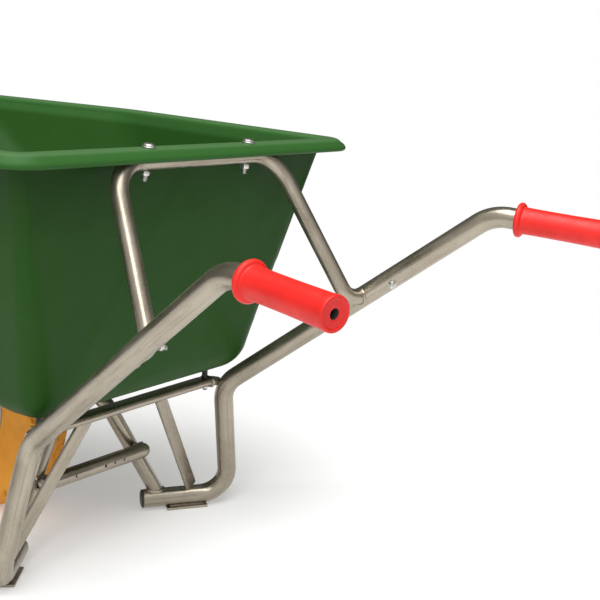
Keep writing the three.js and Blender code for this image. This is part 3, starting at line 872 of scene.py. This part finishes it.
def stay_cross_tube():
    """A tube whose ends are pressed shut, welded to the two stays."""
    y, z = stay_cross_y(), STAY_CROSS_Z
    end = STAY_CROSS_HALF
    sides = 36
    near = 30
    verts, flow = [], []
    xs = [-end + near * (k / 10) ** 1.3 for k in range(11)]
    xs += [-end + near + (2 * end - 2 * near) * k / 30 for k in range(1, 30)]
    xs += [end - near * (k / 10) ** 1.3 for k in range(10, -1, -1)]
    for x in xs:
        t = min(1.0, (end - abs(x)) / 13)
        ease = math.sqrt(max(0.0, 1 - (1 - t) ** 2))
        tall = FRAME_R * (0.20 + 0.80 * ease)
        deep = FRAME_R * (0.30 + 0.70 * ease)
        for k in range(sides):
            angle = 2 * math.pi * k / sides
            a, b = deep * math.cos(angle), tall * math.sin(angle)
            verts.append(V(x, y + a, z + b))
            flow.append(V(x, a, b) * MM)
    shape = Shape(verts, skin(len(xs), sides), flow)
    for sign in (-1, 1):
        share = (STAY_TOP.z - z) / (STAY_TOP.z - STAY_FOOT.z)
        x = sign * (STAY_TOP.x + (STAY_FOOT.x - STAY_TOP.x) * share)
        for edge in (-1, 1):
            path = [V(x + sign * k * 1.6, y + 10.2, z + edge * 8.4) for k in range(-6, 7)]
            shape.join(bead(path, 2.2, closed=False))
    return shape


def vent_hole_shade():
    """Painted shade: dark discs stand for the shaded inside of the vent holes in the stay cross
    tube's rear side.
    """
    y = stay_cross_y()
    shape = Shape()
    for x, radius in ((-55, 1.7), (10, 2.3), (31, 1.5), (52, 1.7)):
        outline = [(radius + 0.5, 0.5), (radius + 0.3, -0.12), (radius, -0.18), (0, -0.1)]
        shape.join(turned(outline, 20, V(x, y - FRAME_R, STAY_CROSS_Z), V(0, 1, 0)))
    return shape


def handle_nut(sign):
    """A hex nut on a washer, and the stud's end, on the handle's inner lower side."""
    along = (GRIP_BEND - LEG_BEND).normalized()
    out = V(-0.75, 0, -0.66)
    out = (out - along * out.dot(along)).normalized()
    foot = on_side(LEG_BEND.lerp(GRIP_BEND, 0.655) + out * (HANDLE_R + 0.2), sign)
    out = on_side(out, sign)
    shape = hex_nut(10.5, 3.0, 5.0, foot, out)
    stud = [(0, 4.0), (2.9, 4.0)] + threaded(2.9, 4.2, 9.4, 1.0) + [(2.2, 9.8), (0, 9.9)]
    return shape.join(turned(stud, 24, foot, out)).join(washer(3.1, 6.6, 1.0, foot, out))


def slope_point(x, y, out):
    """A place on the tub's sloping front wall, moved outward along its normal."""
    low, high = V(0, FLOOR_FRONT_Y, FLOOR_Z), V(0, TOP_FRONT_Y, rim_z(TOP_FRONT_Y) - TUB_WALL)
    way = (high - low).normalized()
    normal = V(0, way.z, -way.y)
    return V(x, low.y, low.z) + way * ((y - low.y) / way.y) + normal * out, normal


def tub_cradle():
    at, _ = slope_point(0, 140, FRAME_R + 1)
    x = FORK_X - 4
    low, high = V(x, at.y, FORK_Z), V(x, at.y, at.z)
    fork_at, fork_way = V(FORK_X, 205, FORK_Z - 2), V(14, 87, 14)
    other = (fork_at, fork_way, FRAME_R)
    mirror = (flip(fork_at), flip(fork_way), FRAME_R)
    points = [low, high, flip(high), flip(low)]
    shape = trimmed_tube(points, [24, 24], FRAME_R, other, mirror)
    return weld_mouths(shape, 32, 2.2)


def front_cradle_bar():
    at, _ = slope_point(0, FRONT_BOLT_Y, FRAME_R + 1)
    left, right = V(-130, at.y, at.z), V(130, at.y, at.z)
    stations = [left.lerp(right, k / 24) for k in range(25)]
    return open_tube(stations, FRAME_R, 1.5, 40)


def front_stay(sign):
    at, _ = slope_point(0, FRONT_BOLT_Y, FRAME_R + 1)
    x = sign * FORK_X
    foot, top = V(x, 412, FORK_Z), V(x, at.y, at.z)
    fork = (foot, V(0, 1, 0), FRAME_R)
    bar = (top, ACROSS, FRAME_R)
    radius, sides = 10, 28
    stations = [foot.lerp(top, k / 40) for k in range(41)]
    stations = cope(stations[::-1], radius, *fork)[::-1]
    stations = cope(stations, radius, *bar)
    shape = sweep(stations, circle(radius, sides), closed_ends=False)
    last = (len(stations) - 1) * sides
    fit_ring(shape, last, sides, stations[-1] - stations[-2], bar)
    fit_ring(shape, 0, sides, stations[0] - stations[1], fork)
    return weld_mouths(shape, sides, 2.1)


def nose_guard():
    start = V(FORK_X, FORK_END + 0.3, FORK_Z)
    shoulder = V(FORK_X, FORK_END + 34, FORK_Z)
    front = V(92, 640, FORK_Z + 18)
    points = [start, shoulder, front, flip(front), flip(shoulder), flip(start)]
    stations = bent_route(points, [40, 45, 45, 40])
    shape = sweep(stations, circle(FRAME_R, 32))
    for sign in (-1, 1):
        ring = [V(sign * FORK_X + a, FORK_END + 1.4, FORK_Z + b) for a, b in circle(FRAME_R, 32)]
        shape.join(bead(ring, 2.1))
    return shape


def axle_bracket(sign):
    """A pressed plate under the fork tube with a rounded lower end round the axle."""
    outline = [(-30, 19), (-30, 12)]
    for k in range(25):
        angle = math.radians(205 + 130 * k / 24)
        outline.append((20 * math.cos(angle), 20 * math.sin(angle)))
    outline += [(30, 12), (30, 19)]
    for k in range(1, 12):
        outline.append((30 - 60 * k / 12, 19))
    x0 = sign * FORK_X
    verts = []
    for x, inset in ((x0 - 2.5, 0.7), (x0 - 1.9, 0.0), (x0 + 1.9, 0.0), (x0 + 2.5, 0.7)):
        for a, b in outline:
            scale = 1 - inset / max(math.hypot(a, b), 1)
            verts.append(V(x, AXLE.y + a * scale, AXLE.z + b * scale))
    shape = Shape(verts, skin(4, len(outline)))
    for edge in (-1, 1):
        path = [V(x0 + edge * 4.0, AXLE.y + k * 4.4, AXLE.z + 18.6) for k in range(-6, 7)]
        shape.join(bead(path, 2.2, closed=False))
    return shape


# Tub

FLOOR_EDGE = 35.0
RIM_REACH, SKIRT_FLARE, RIM_DROP = 30.0, 9.0, 19.0
FLOOR_OUTLINE = [(234, -40, 44), (228, 30, 30), (212, FLOOR_FRONT_Y, 45)]
TOP_OUTLINE = [(330, -125, 16), (330, 330, 260), (232, TOP_FRONT_Y, 115)]
ARC_STEPS = [12, 10, 14, 14, 10, 12]
RUN_STEPS = [10, 12, 18, 12, 10, 60]
CREASE = [(612, 0), (562, 28), (495, 77), (406, 136), (294, 200)]


def leaned(p):
    """The tub and its hoop stand a little lower on the right, more so towards the rim."""
    rise = clamp((p.z - FLOOR_Z - 20) / (RIM_REAR_Z - FLOOR_Z - 20))
    return V(p.x, p.y, p.z - TUB_LEAN * p.x * rise)


def outline_points(corners, reach):
    """The rounded outline moved out by a reach; straight runs are divided as well as the corners."""
    loop = list(corners) + [(-x, y, r) for x, y, r in reversed(corners)]
    count = len(loop)
    moved = []
    for i, (x, y, _) in enumerate(loop):
        before, after = loop[i - 1], loop[(i + 1) % count]
        a = Vector((x - before[0], y - before[1])).normalized()
        b = Vector((after[0] - x, after[1] - y)).normalized()
        out_a, out_b = Vector((a.y, -a.x)), Vector((b.y, -b.x))
        moved.append(Vector((x, y)) + (out_a + out_b) * (reach / (1 + out_a.dot(out_b))))
    arcs = []
    for i in range(count):
        here, before, after = moved[i], moved[i - 1], moved[(i + 1) % count]
        u, w = (before - here).normalized(), (after - here).normalized()
        half = math.acos(max(-1.0, min(1.0, u.dot(w)))) / 2
        radius = max(loop[i][2] + reach, 3)
        centre = here + (u + w).normalized() * (radius / math.sin(half))
        arm = here + u * (radius / math.tan(half)) - centre
        turn = math.pi - 2 * half
        arc = []
        for k in range(ARC_STEPS[i] + 1):
            angle = turn * k / ARC_STEPS[i]
            c, s = math.cos(angle), math.sin(angle)
            arc.append(centre + Vector((arm.x * c - arm.y * s, arm.x * s + arm.y * c)))
        arcs.append(arc)
    points = []
    for i, arc in enumerate(arcs):
        points += arc
        following = arcs[(i + 1) % count][0]
        for k in range(1, RUN_STEPS[i]):
            points.append(arc[-1].lerp(following, k / RUN_STEPS[i]))
    return points


def wall_ring(share, reach, lift=0.0):
    low = outline_points(FLOOR_OUTLINE, reach)
    high = outline_points(TOP_OUTLINE, reach)
    ring = []
    for a, b in zip(low, high):
        p = V(a.x, a.y, FLOOR_Z).lerp(V(b.x, b.y, rim_z(b.y) - TUB_WALL), share)
        ring.append(p + V(0, 0, lift))
    return ring


def floor_edge_rings(reach, lift, steps=8):
    rings = []
    for k in range(steps + 1):
        angle = k / steps * math.pi / 2
        inset = FLOOR_EDGE * (1 - math.sin(angle))
        share = FLOOR_EDGE * (1 - math.cos(angle)) / (RIM_REAR_Z - FLOOR_Z)
        rings.append(wall_ring(share, reach - inset, lift * math.cos(angle)))
    return rings


def rim_ring(reach, below):
    return [V(p.x, p.y, rim_z(p.y) - below) for p in outline_points(TOP_OUTLINE, reach)]


def crease_at(z):
    for (z0, x0), (z1, x1) in zip(CREASE, CREASE[1:]):
        if z1 <= z <= z0:
            return x0 + (x1 - x0) * (z0 - z) / (z0 - z1)
    return 0.0 if z > CREASE[0][0] else CREASE[-1][1] + (CREASE[-1][0] - z) * 0.55


def moulded(p, outward):
    """Shallow moulding marks: the rear panel's crease and the slow waves of a thick moulding."""
    height = clamp((p.z - 285) / 60) * clamp((628 - p.z) / 40)
    if height <= 0:
        return p
    wave = 0.5 * math.sin(p.x / 71.0 + 1.3) * math.sin(p.z / 83.0)
    wave += 0.35 * math.sin(p.y / 97.0 + 0.4)
    rear_y = -40 - 85 * (p.z - FLOOR_Z) / (RIM_REAR_Z - FLOOR_Z)
    depth = 0.0
    if p.y < rear_y + 12 and abs(p.x) < 230 + 0.2 * (p.z - FLOOR_Z):
        t = clamp((abs(p.x) - crease_at(p.z)) / 9.0 + 0.5)
        depth = 1.5 * t * t * (3 - 2 * t)
    if p.y < 0:
        return p + V(0, (depth - wave * 0.6) * height, 0)
    return p + outward * (wave * height)


def tub_shell():
    wall_shares = [0.093 + (0.985 - 0.093) * k / 30 for k in range(1, 31)]
    outer = floor_edge_rings(0, 0) + [wall_ring(s, 0) for s in wall_shares]
    inner = [wall_ring(s, -TUB_WALL) for s in reversed(wall_shares)]
    inner += floor_edge_rings(-TUB_WALL, TUB_WALL)[::-1]
    reach, flare, drop = RIM_REACH, SKIRT_FLARE, RIM_DROP
    lip = reach + flare
    rim = [
        (0.8, 6.2), (2.6, 4.6), (6, 4.1), (reach - 12, 4.1), (reach - 6.5, 4.9),
        (reach - 3.6, 6.8), (lip - 6.2, drop - 5.5), (lip - 5.0, drop - 3.0),
        (lip - 5.6, drop - 1.0), (lip - 5.0, drop - 0.3), (lip - 3.6, drop),
        (lip - 2.0, drop - 0.7), (lip - 0.9, drop - 1.9), (lip - 0.2, drop - 3.4),
        (lip, drop - 5.0), (lip - 0.5, drop - 6.8), (lip - 2.6, drop - 10.2),
        (reach + 1.6, 5.6), (reach - 0.2, 3.6), (reach - 2.0, 2.1), (reach - 4.2, 1.0),
        (reach - 6.8, 0.3), (reach - 9.5, 0.1), (reach * 0.5, 0.0), (reach * 0.3, 0.0),
        (6.0, 0.25), (3.2, 0.8), (0.6, 2.0), (-1.6, 4.2), (-3.0, 7.2), (-3.8, 10.8),
    ]
    rings = outer + [rim_ring(r, below) for r, below in rim] + inner
    first_inner = len(outer) + len(rim)
    first_wall = len(outer) - len(wall_shares)
    verts = []
    for i, ring in enumerate(rings):
        is_wall = first_wall <= i < len(outer) or i >= first_inner
        for p in ring:
            away = V(p.x, p.y * 0.4, 0).normalized()
            verts.append(leaned(moulded(p, away) if is_wall else p))
    return Shape(verts, skin(len(rings), len(rings[0])))


# Fasteners

HOOP_BOLT_X, FLOOR_BOLT_X, FRONT_BOLT_X = 108, 183, 100


def add_fasteners(side, sign):
    x = sign * HOOP_BOLT_X
    drop = TUB_LEAN * x
    top = rim_z(HOOP_TOP.y) + 0.3 - drop
    tilt = V(0.05, -0.17, 1).normalized()
    middle = V(x, HOOP_TOP.y, HOOP_TOP.z - drop)
    rise = top + 1.9 - middle.z
    head = middle + tilt * rise
    bolt = domed_bolt(8.0, 4, 49, head, tilt, 22)
    stand_in(side + "_hoop_bolt", bolt)
    disc = washer(4.5, 9.6, 1.5, middle + tilt * (rise - 1.8), tilt)
    stand_in(side + "_hoop_washer", disc)
    nut = hex_nut(13, 4.1, 6.5, middle - tilt * (FRAME_R + 7.2), tilt)
    stand_in(side + "_hoop_nut", nut)

    x = sign * FLOOR_BOLT_X
    head = V(x, BAR_Y, FLOOR_Z + TUB_WALL + 0.3)
    bolt = domed_bolt(7, 4, 46, head, UP, 14)
    stand_in(side + "_floor_bolt", bolt)
    low = BAR_Z + BAR_HEIGHT / 2 + 0.3
    outline = [(4.2, 0.5), (4.4, 0), (5.0, 0), (5.2, 0.5), (4.8, 1.8), (4.8, 17.0)]
    outline += [(5.2, 18.4), (5.0, 18.9), (4.4, 18.9), (4.2, 18.5), (4.2, 0.5)]
    spacer = turned(outline, 40, V(x, BAR_Y, low), UP)
    stand_in(side + "_floor_spacer", spacer, "black_plastic")
    nut = hex_nut(11, 4.1, 4.0, V(x, BAR_Y, BAR_Z - BAR_HEIGHT / 2 - 4.3), UP)
    stand_in(side + "_floor_nut", nut)

    x = sign * FRONT_BOLT_X
    at, normal = slope_point(x, FRONT_BOLT_Y, -TUB_WALL - 0.6)
    bolt = domed_bolt(9, 4, 44, at, normal * -1, 14)
    stand_in(side + "_front_bolt", bolt)
    at, _ = slope_point(x, FRONT_BOLT_Y, 1 + 2 * FRAME_R + 6.8)
    nut = hex_nut(13, 4.1, 6.5, at, normal * -1)
    stand_in(side + "_front_nut", nut)


# Wheel

RIM_SEAT = 100.6
TREAD_FROM, TREAD_FADE = 183, 6
TREAD_BLOCKS = 36
RIBS = 8
RIM_BOLT_RING = 46


def tyre():
    """A solid tyre: plain side walls with a raised ring, and blocks cut into the tread."""
    half = [
        (RIM_SEAT, 18), (RIM_SEAT, 36.3), (104, 36.9), (111, 37.2), (114, 39.6), (118, 42.2),
        (124, 43.6), (130, 43.9), (131.5, 44.5), (135.5, 44.5), (137, 43.9), (150, 44.4),
        (163, 44.9), (172, 44.8), (178, 44.3), (182.5, 43.2), (186.5, 41.2), (190, 38.2),
        (193.2, 34.0), (195.6, 28.8), (197.4, 23.0), (198.6, 17.0), (199.4, 11.0),
        (199.8, 5.5), (200, 0),
    ]
    profile = half + [(r, -x) for r, x in half[-2::-1]]
    profile.append(profile[0])
    segments = 288
    shape = turned(profile[::-1], segments, AXLE, ACROSS, UP)
    for v in shape.verts:
        dy, dz = v.y - AXLE.y, v.z - AXLE.z
        r = math.hypot(dy, dz)
        if r < TREAD_FROM:
            continue
        angle = math.atan2(dz, dy) / (2 * math.pi) * TREAD_BLOCKS
        lane = abs(v.x)
        depth = 0.0
        phase = (angle + (0.5 if v.x > 0 else 0.0) + lane / 46.0) % 1.0
        if 8 < lane < 42 and phase < 0.25:
            depth = 5.0
        if abs(lane - 17) < 3.1:
            depth = max(depth, 4.0)
        fade = min(1.0, (r - TREAD_FROM) / TREAD_FADE)
        v.y -= dy / r * depth * fade
        v.z -= dz / r * depth * fade
    return shape


def rim_half(sign):
    """A pressed dish with a flat seat for the tyre, low ribs and a bolted middle."""
    outline = [
        (19.4, 0.3), (19.4, 3.1, 0.6), (24, 3.2, 1), (26, 5.2, 1.5), (31, 5.4, 1.5),
        (34, 3.2, 1.5), (62, 3.2, 5), (93.5, 21.2, 6), (97.0, 36.8, 2), (97.0, 39.4, 1.6),
        (110.4, 39.4, 1.6), (111.2, 37.0, 0.8), (100.2, 36.9, 1.5), (97.6, 20.6, 6),
        (66.4, 0.3, 5), (19.4, 0.3),
    ]
    profile = rounded_profile(outline, 1.0)
    shape = turned(profile[::-1], 144, AXLE, V(sign, 0, 0), UP)
    for v in shape.verts:
        dy, dz = v.y - AXLE.y, v.z - AXLE.z
        r = math.hypot(dy, dz)
        if 60 < r < 96:
            angle = math.atan2(dz, dy)
            rib = max(0.0, math.cos(angle * RIBS)) ** 3
            band = math.sin((r - 60) / 36 * math.pi)
            v.x += sign * 2.0 * rib * band
    return shape


def bearing(sign):
    outer, inner, width = 15.0, 7.4, 12.0
    at = on_axle(sign * (HUB_HALF - width))
    outline = [
        (inner, 0.5), (inner + 0.5, 0), (outer - 0.5, 0), (outer, 0.5), (outer, width - 0.5),
        (outer - 0.5, width), (12.6, width), (12.4, width - 0.7), (9.6, width - 0.7),
        (9.4, width), (inner + 0.5, width), (inner, width - 0.5), (inner, 0.5),
    ]
    return turned(outline, 48, at, V(sign, 0, 0))


def axle_pieces():
    reach = FORK_X + 2.5 + 2.6
    shank = 2 * reach + 14
    profile = [(0, -shank), (5.9, -shank), (6.8, -shank + 1.2)]
    profile += threaded(7.0, -shank + 1.4, -shank + 17, 1.5)
    profile += [(7, -shank + 18), (7, 0), (0, 0)]
    at = on_axle(-reach)
    shank_shape = turned(profile, 40, at, V(-1, 0, 0))
    head = hex_nut(22, 0.4, 8.4, at, V(-1, 0, 0))
    cap = turned([(0.0, 8.4), (9.5, 8.4), (9.5, 7.4), (0, 7.4)], 32, at, V(-1, 0, 0))
    bolt = shank_shape.join(head).join(cap)
    stand_in("axle_bolt", bolt)
    nut = hex_nut(22, 7.1, 11, on_axle(reach), ACROSS)
    stand_in("axle_nut", nut)
    for side, sign in SIDES:
        way = ACROSS * sign
        disc = washer(7.6, 14, 2, on_axle(sign * (FORK_X + 2.8)), way)
        stand_in(side + "_axle_washer", disc)
        length = FORK_X - 2.8 - 50.3
        ring = washer(7.5, 11, length, on_axle(sign * (HUB_HALF + 0.3)), way)
        stand_in(side + "_axle_spacer", ring, "galvanised_tube")


def wheel_pieces():
    build("tyre_look", tyre(), "tyre_solid", "wheel", ["tyre"], sharp=28)
    hub = [(15.5, 0.6), (16.1, 0), (18.4, 0), (19, 0.6), (19, 99.4), (18.4, 100), (16.1, 100)]
    hub += [(15.5, 99.4), (15.5, 0.6)]
    tube_shape = turned(hub, 56, on_axle(-HUB_HALF), ACROSS)
    stand_in("hub_tube", tube_shape, "rim_steel", "wheel")
    for side, sign in SIDES:
        stand_in(side + "_rim_half", rim_half(sign), "rim_steel", "wheel")
        stand_in(side + "_bearing", bearing(sign), "zinc_bolt", "wheel")
    for i in range(3):
        angle = (i + 0.25) * 2 * math.pi / 3
        y = AXLE.y + RIM_BOLT_RING * math.cos(angle)
        z = AXLE.z + RIM_BOLT_RING * math.sin(angle)
        bolt = domed_bolt(6, 3, 15, V(3.5, y, z), ACROSS, 9)
        stand_in(f"rim_bolt_{i + 1}", bolt, "zinc_bolt", "wheel")
        nut = hex_nut(10, 3.1, 5, V(-3.5, y, z), V(-1, 0, 0))
        stand_in(f"rim_nut_{i + 1}", nut, "zinc_bolt", "wheel")


# Assembly

build("tub_shell", tub_shell(), "tub_plastic", "frame", ["tub"], sharp=40)
ZINC = "galvanised_tube"
for side, sign in SIDES:
    build(side + "_handle_look", handle_tube(sign), ZINC, "frame", [side + "_handle_leg_tube"])
    stand_in(side + "_grip", grip(sign), "grip_plastic")
    # Painted shade: black lining inside each grip's end hole.
    build(side + "_grip_hole_look", grip_hole_shade(sign), "black_plastic", "frame", [])
    stand_in(side + "_foot_plug", foot_plug(sign), "black_plastic")
    stand_in(side + "_foot_plate", foot_plate(sign), ZINC)
    build(side + "_fork_look", fork_tube(sign), ZINC, "frame", [side + "_fork_tube"])
    stand_in(side + "_leg_brace", leg_brace(sign), ZINC)
    stand_in(side + "_front_stay", front_stay(sign), ZINC)
    stand_in(side + "_axle_bracket", axle_bracket(sign), ZINC)
    stand_in(side + "_handle_nut", handle_nut(sign))
    add_fasteners(side, sign)
build("support_hoop_look", support_hoop(), ZINC, "frame", ["tub_support_hoop"])
stand_in("rear_cross_bar", cross_bar(), ZINC)
build("stay_cross_look", stay_cross_tube(), ZINC, "frame", ["stay_cross_tube"])
# Painted shade: the vent discs are black in place of the shaded inside of the stay cross tube.
build("stay_vent_hole_shade_look", vent_hole_shade(), "black_plastic", "frame", [])
stand_in("tub_cradle", tub_cradle(), ZINC)
build("front_cradle_look", front_cradle_bar(), ZINC, "frame", ["front_cradle_bar"])
stand_in("nose_guard", nose_guard(), ZINC)
axle_pieces()
wheel_pieces()


# Floor, light and background

FLOOR_SIZE = 6.0
FLOOR_NEAR, FLOOR_FAR = 0.85, 2.1


def floor():
    """A pale floor that fades, away from the barrow, into the white behind it."""
    mesh = bpy.data.meshes.new("floor")
    h = FLOOR_SIZE / 2
    mesh.from_pydata([(-h, -h, 0), (h, -h, 0), (h, h, 0), (-h, h, 0)], [], [(0, 1, 2, 3)])
    n = Nodes("floor_white")
    place = n.place()
    flat = n.node("ShaderNodeVectorMath", {0: place}, operation="LENGTH").outputs["Value"]
    far = n.remap(flat, FLOOR_NEAR, FLOOR_FAR, 0.30, 1.0)
    beyond = n.remap(flat, FLOOR_NEAR, FLOOR_FAR, 0.0, 1.0)
    colour = n.mix(beyond, (0.78, 0.78, 0.78), (0.0, 0.0, 0.0))
    made = n.finish(Base_Color=colour, Roughness=0.95, Specular_IOR_Level=0.0)
    n.set(n.bsdf.inputs["Emission Color"], (1.0, 1.0, 1.0, 1))
    n.set(n.bsdf.inputs["Emission Strength"], far)
    mesh.materials.append(made)
    piece = place_object("floor", mesh)
    piece.location.z = -0.0005


def area_light(name, place, target, size, power):
    data = bpy.data.lights.new(name, "AREA")
    data.shape = "RECTANGLE"
    data.size, data.size_y = size
    data.energy = power
    lamp = place_object(name, data)
    lamp.location = place
    lamp.rotation_euler = (Vector(target) - Vector(place)).to_track_quat("-Z", "Y").to_euler()


def world():
    """A studio that is lighter on the camera's side, and plain white to the camera itself."""
    n = Nodes("studio", bpy.data.worlds.new("studio"))
    bpy.context.scene.world = n.owner
    background = n.tree.nodes["Background"]
    background.inputs["Strength"].default_value = 1.0
    place = n.node("ShaderNodeTexCoord").outputs["Generated"]
    bright_side = V(-0.75, -0.56, 0.36).normalized()
    lean = n.node("ShaderNodeVectorMath", {0: place, 1: bright_side}, operation="DOT_PRODUCT")
    ramp = n.node("ShaderNodeValToRGB", {0: n.remap(lean.outputs["Value"], -1, 1)})
    n.set(background.inputs["Color"], ramp.outputs[0])
    stops = ramp.color_ramp.elements
    stops[0].position, stops[0].color = 0.34, (0.09, 0.095, 0.08, 1)
    stops[1].position, stops[1].color = 0.95, (0.80, 0.80, 0.80, 1)
    for position, level in ((0.50, 0.24), (0.66, 0.52), (0.80, 0.74)):
        stop = stops.new(position)
        stop.color = (level, level * 0.99, level * 0.96, 1)
    white = n.node("ShaderNodeBackground", {"Color": (1, 1, 1, 1)}).outputs[0]
    seen = n.node("ShaderNodeLightPath").outputs["Is Camera Ray"]
    choose = n.node("ShaderNodeMixShader", {0: seen, 1: background.outputs[0], 2: white})
    n.set(n.tree.nodes["World Output"].inputs[0], choose.outputs[0])


floor()
world()
area_light("top", (-0.5, -0.6, 3.2), (0, 0, 0.4), (2.2, 2.2), 98)
area_light("key", (-2.4, -1.8, 2.6), (0, 0, 0.5), (1.8, 1.9), 46)
bpy.context.scene.view_settings.view_transform = "Standard"
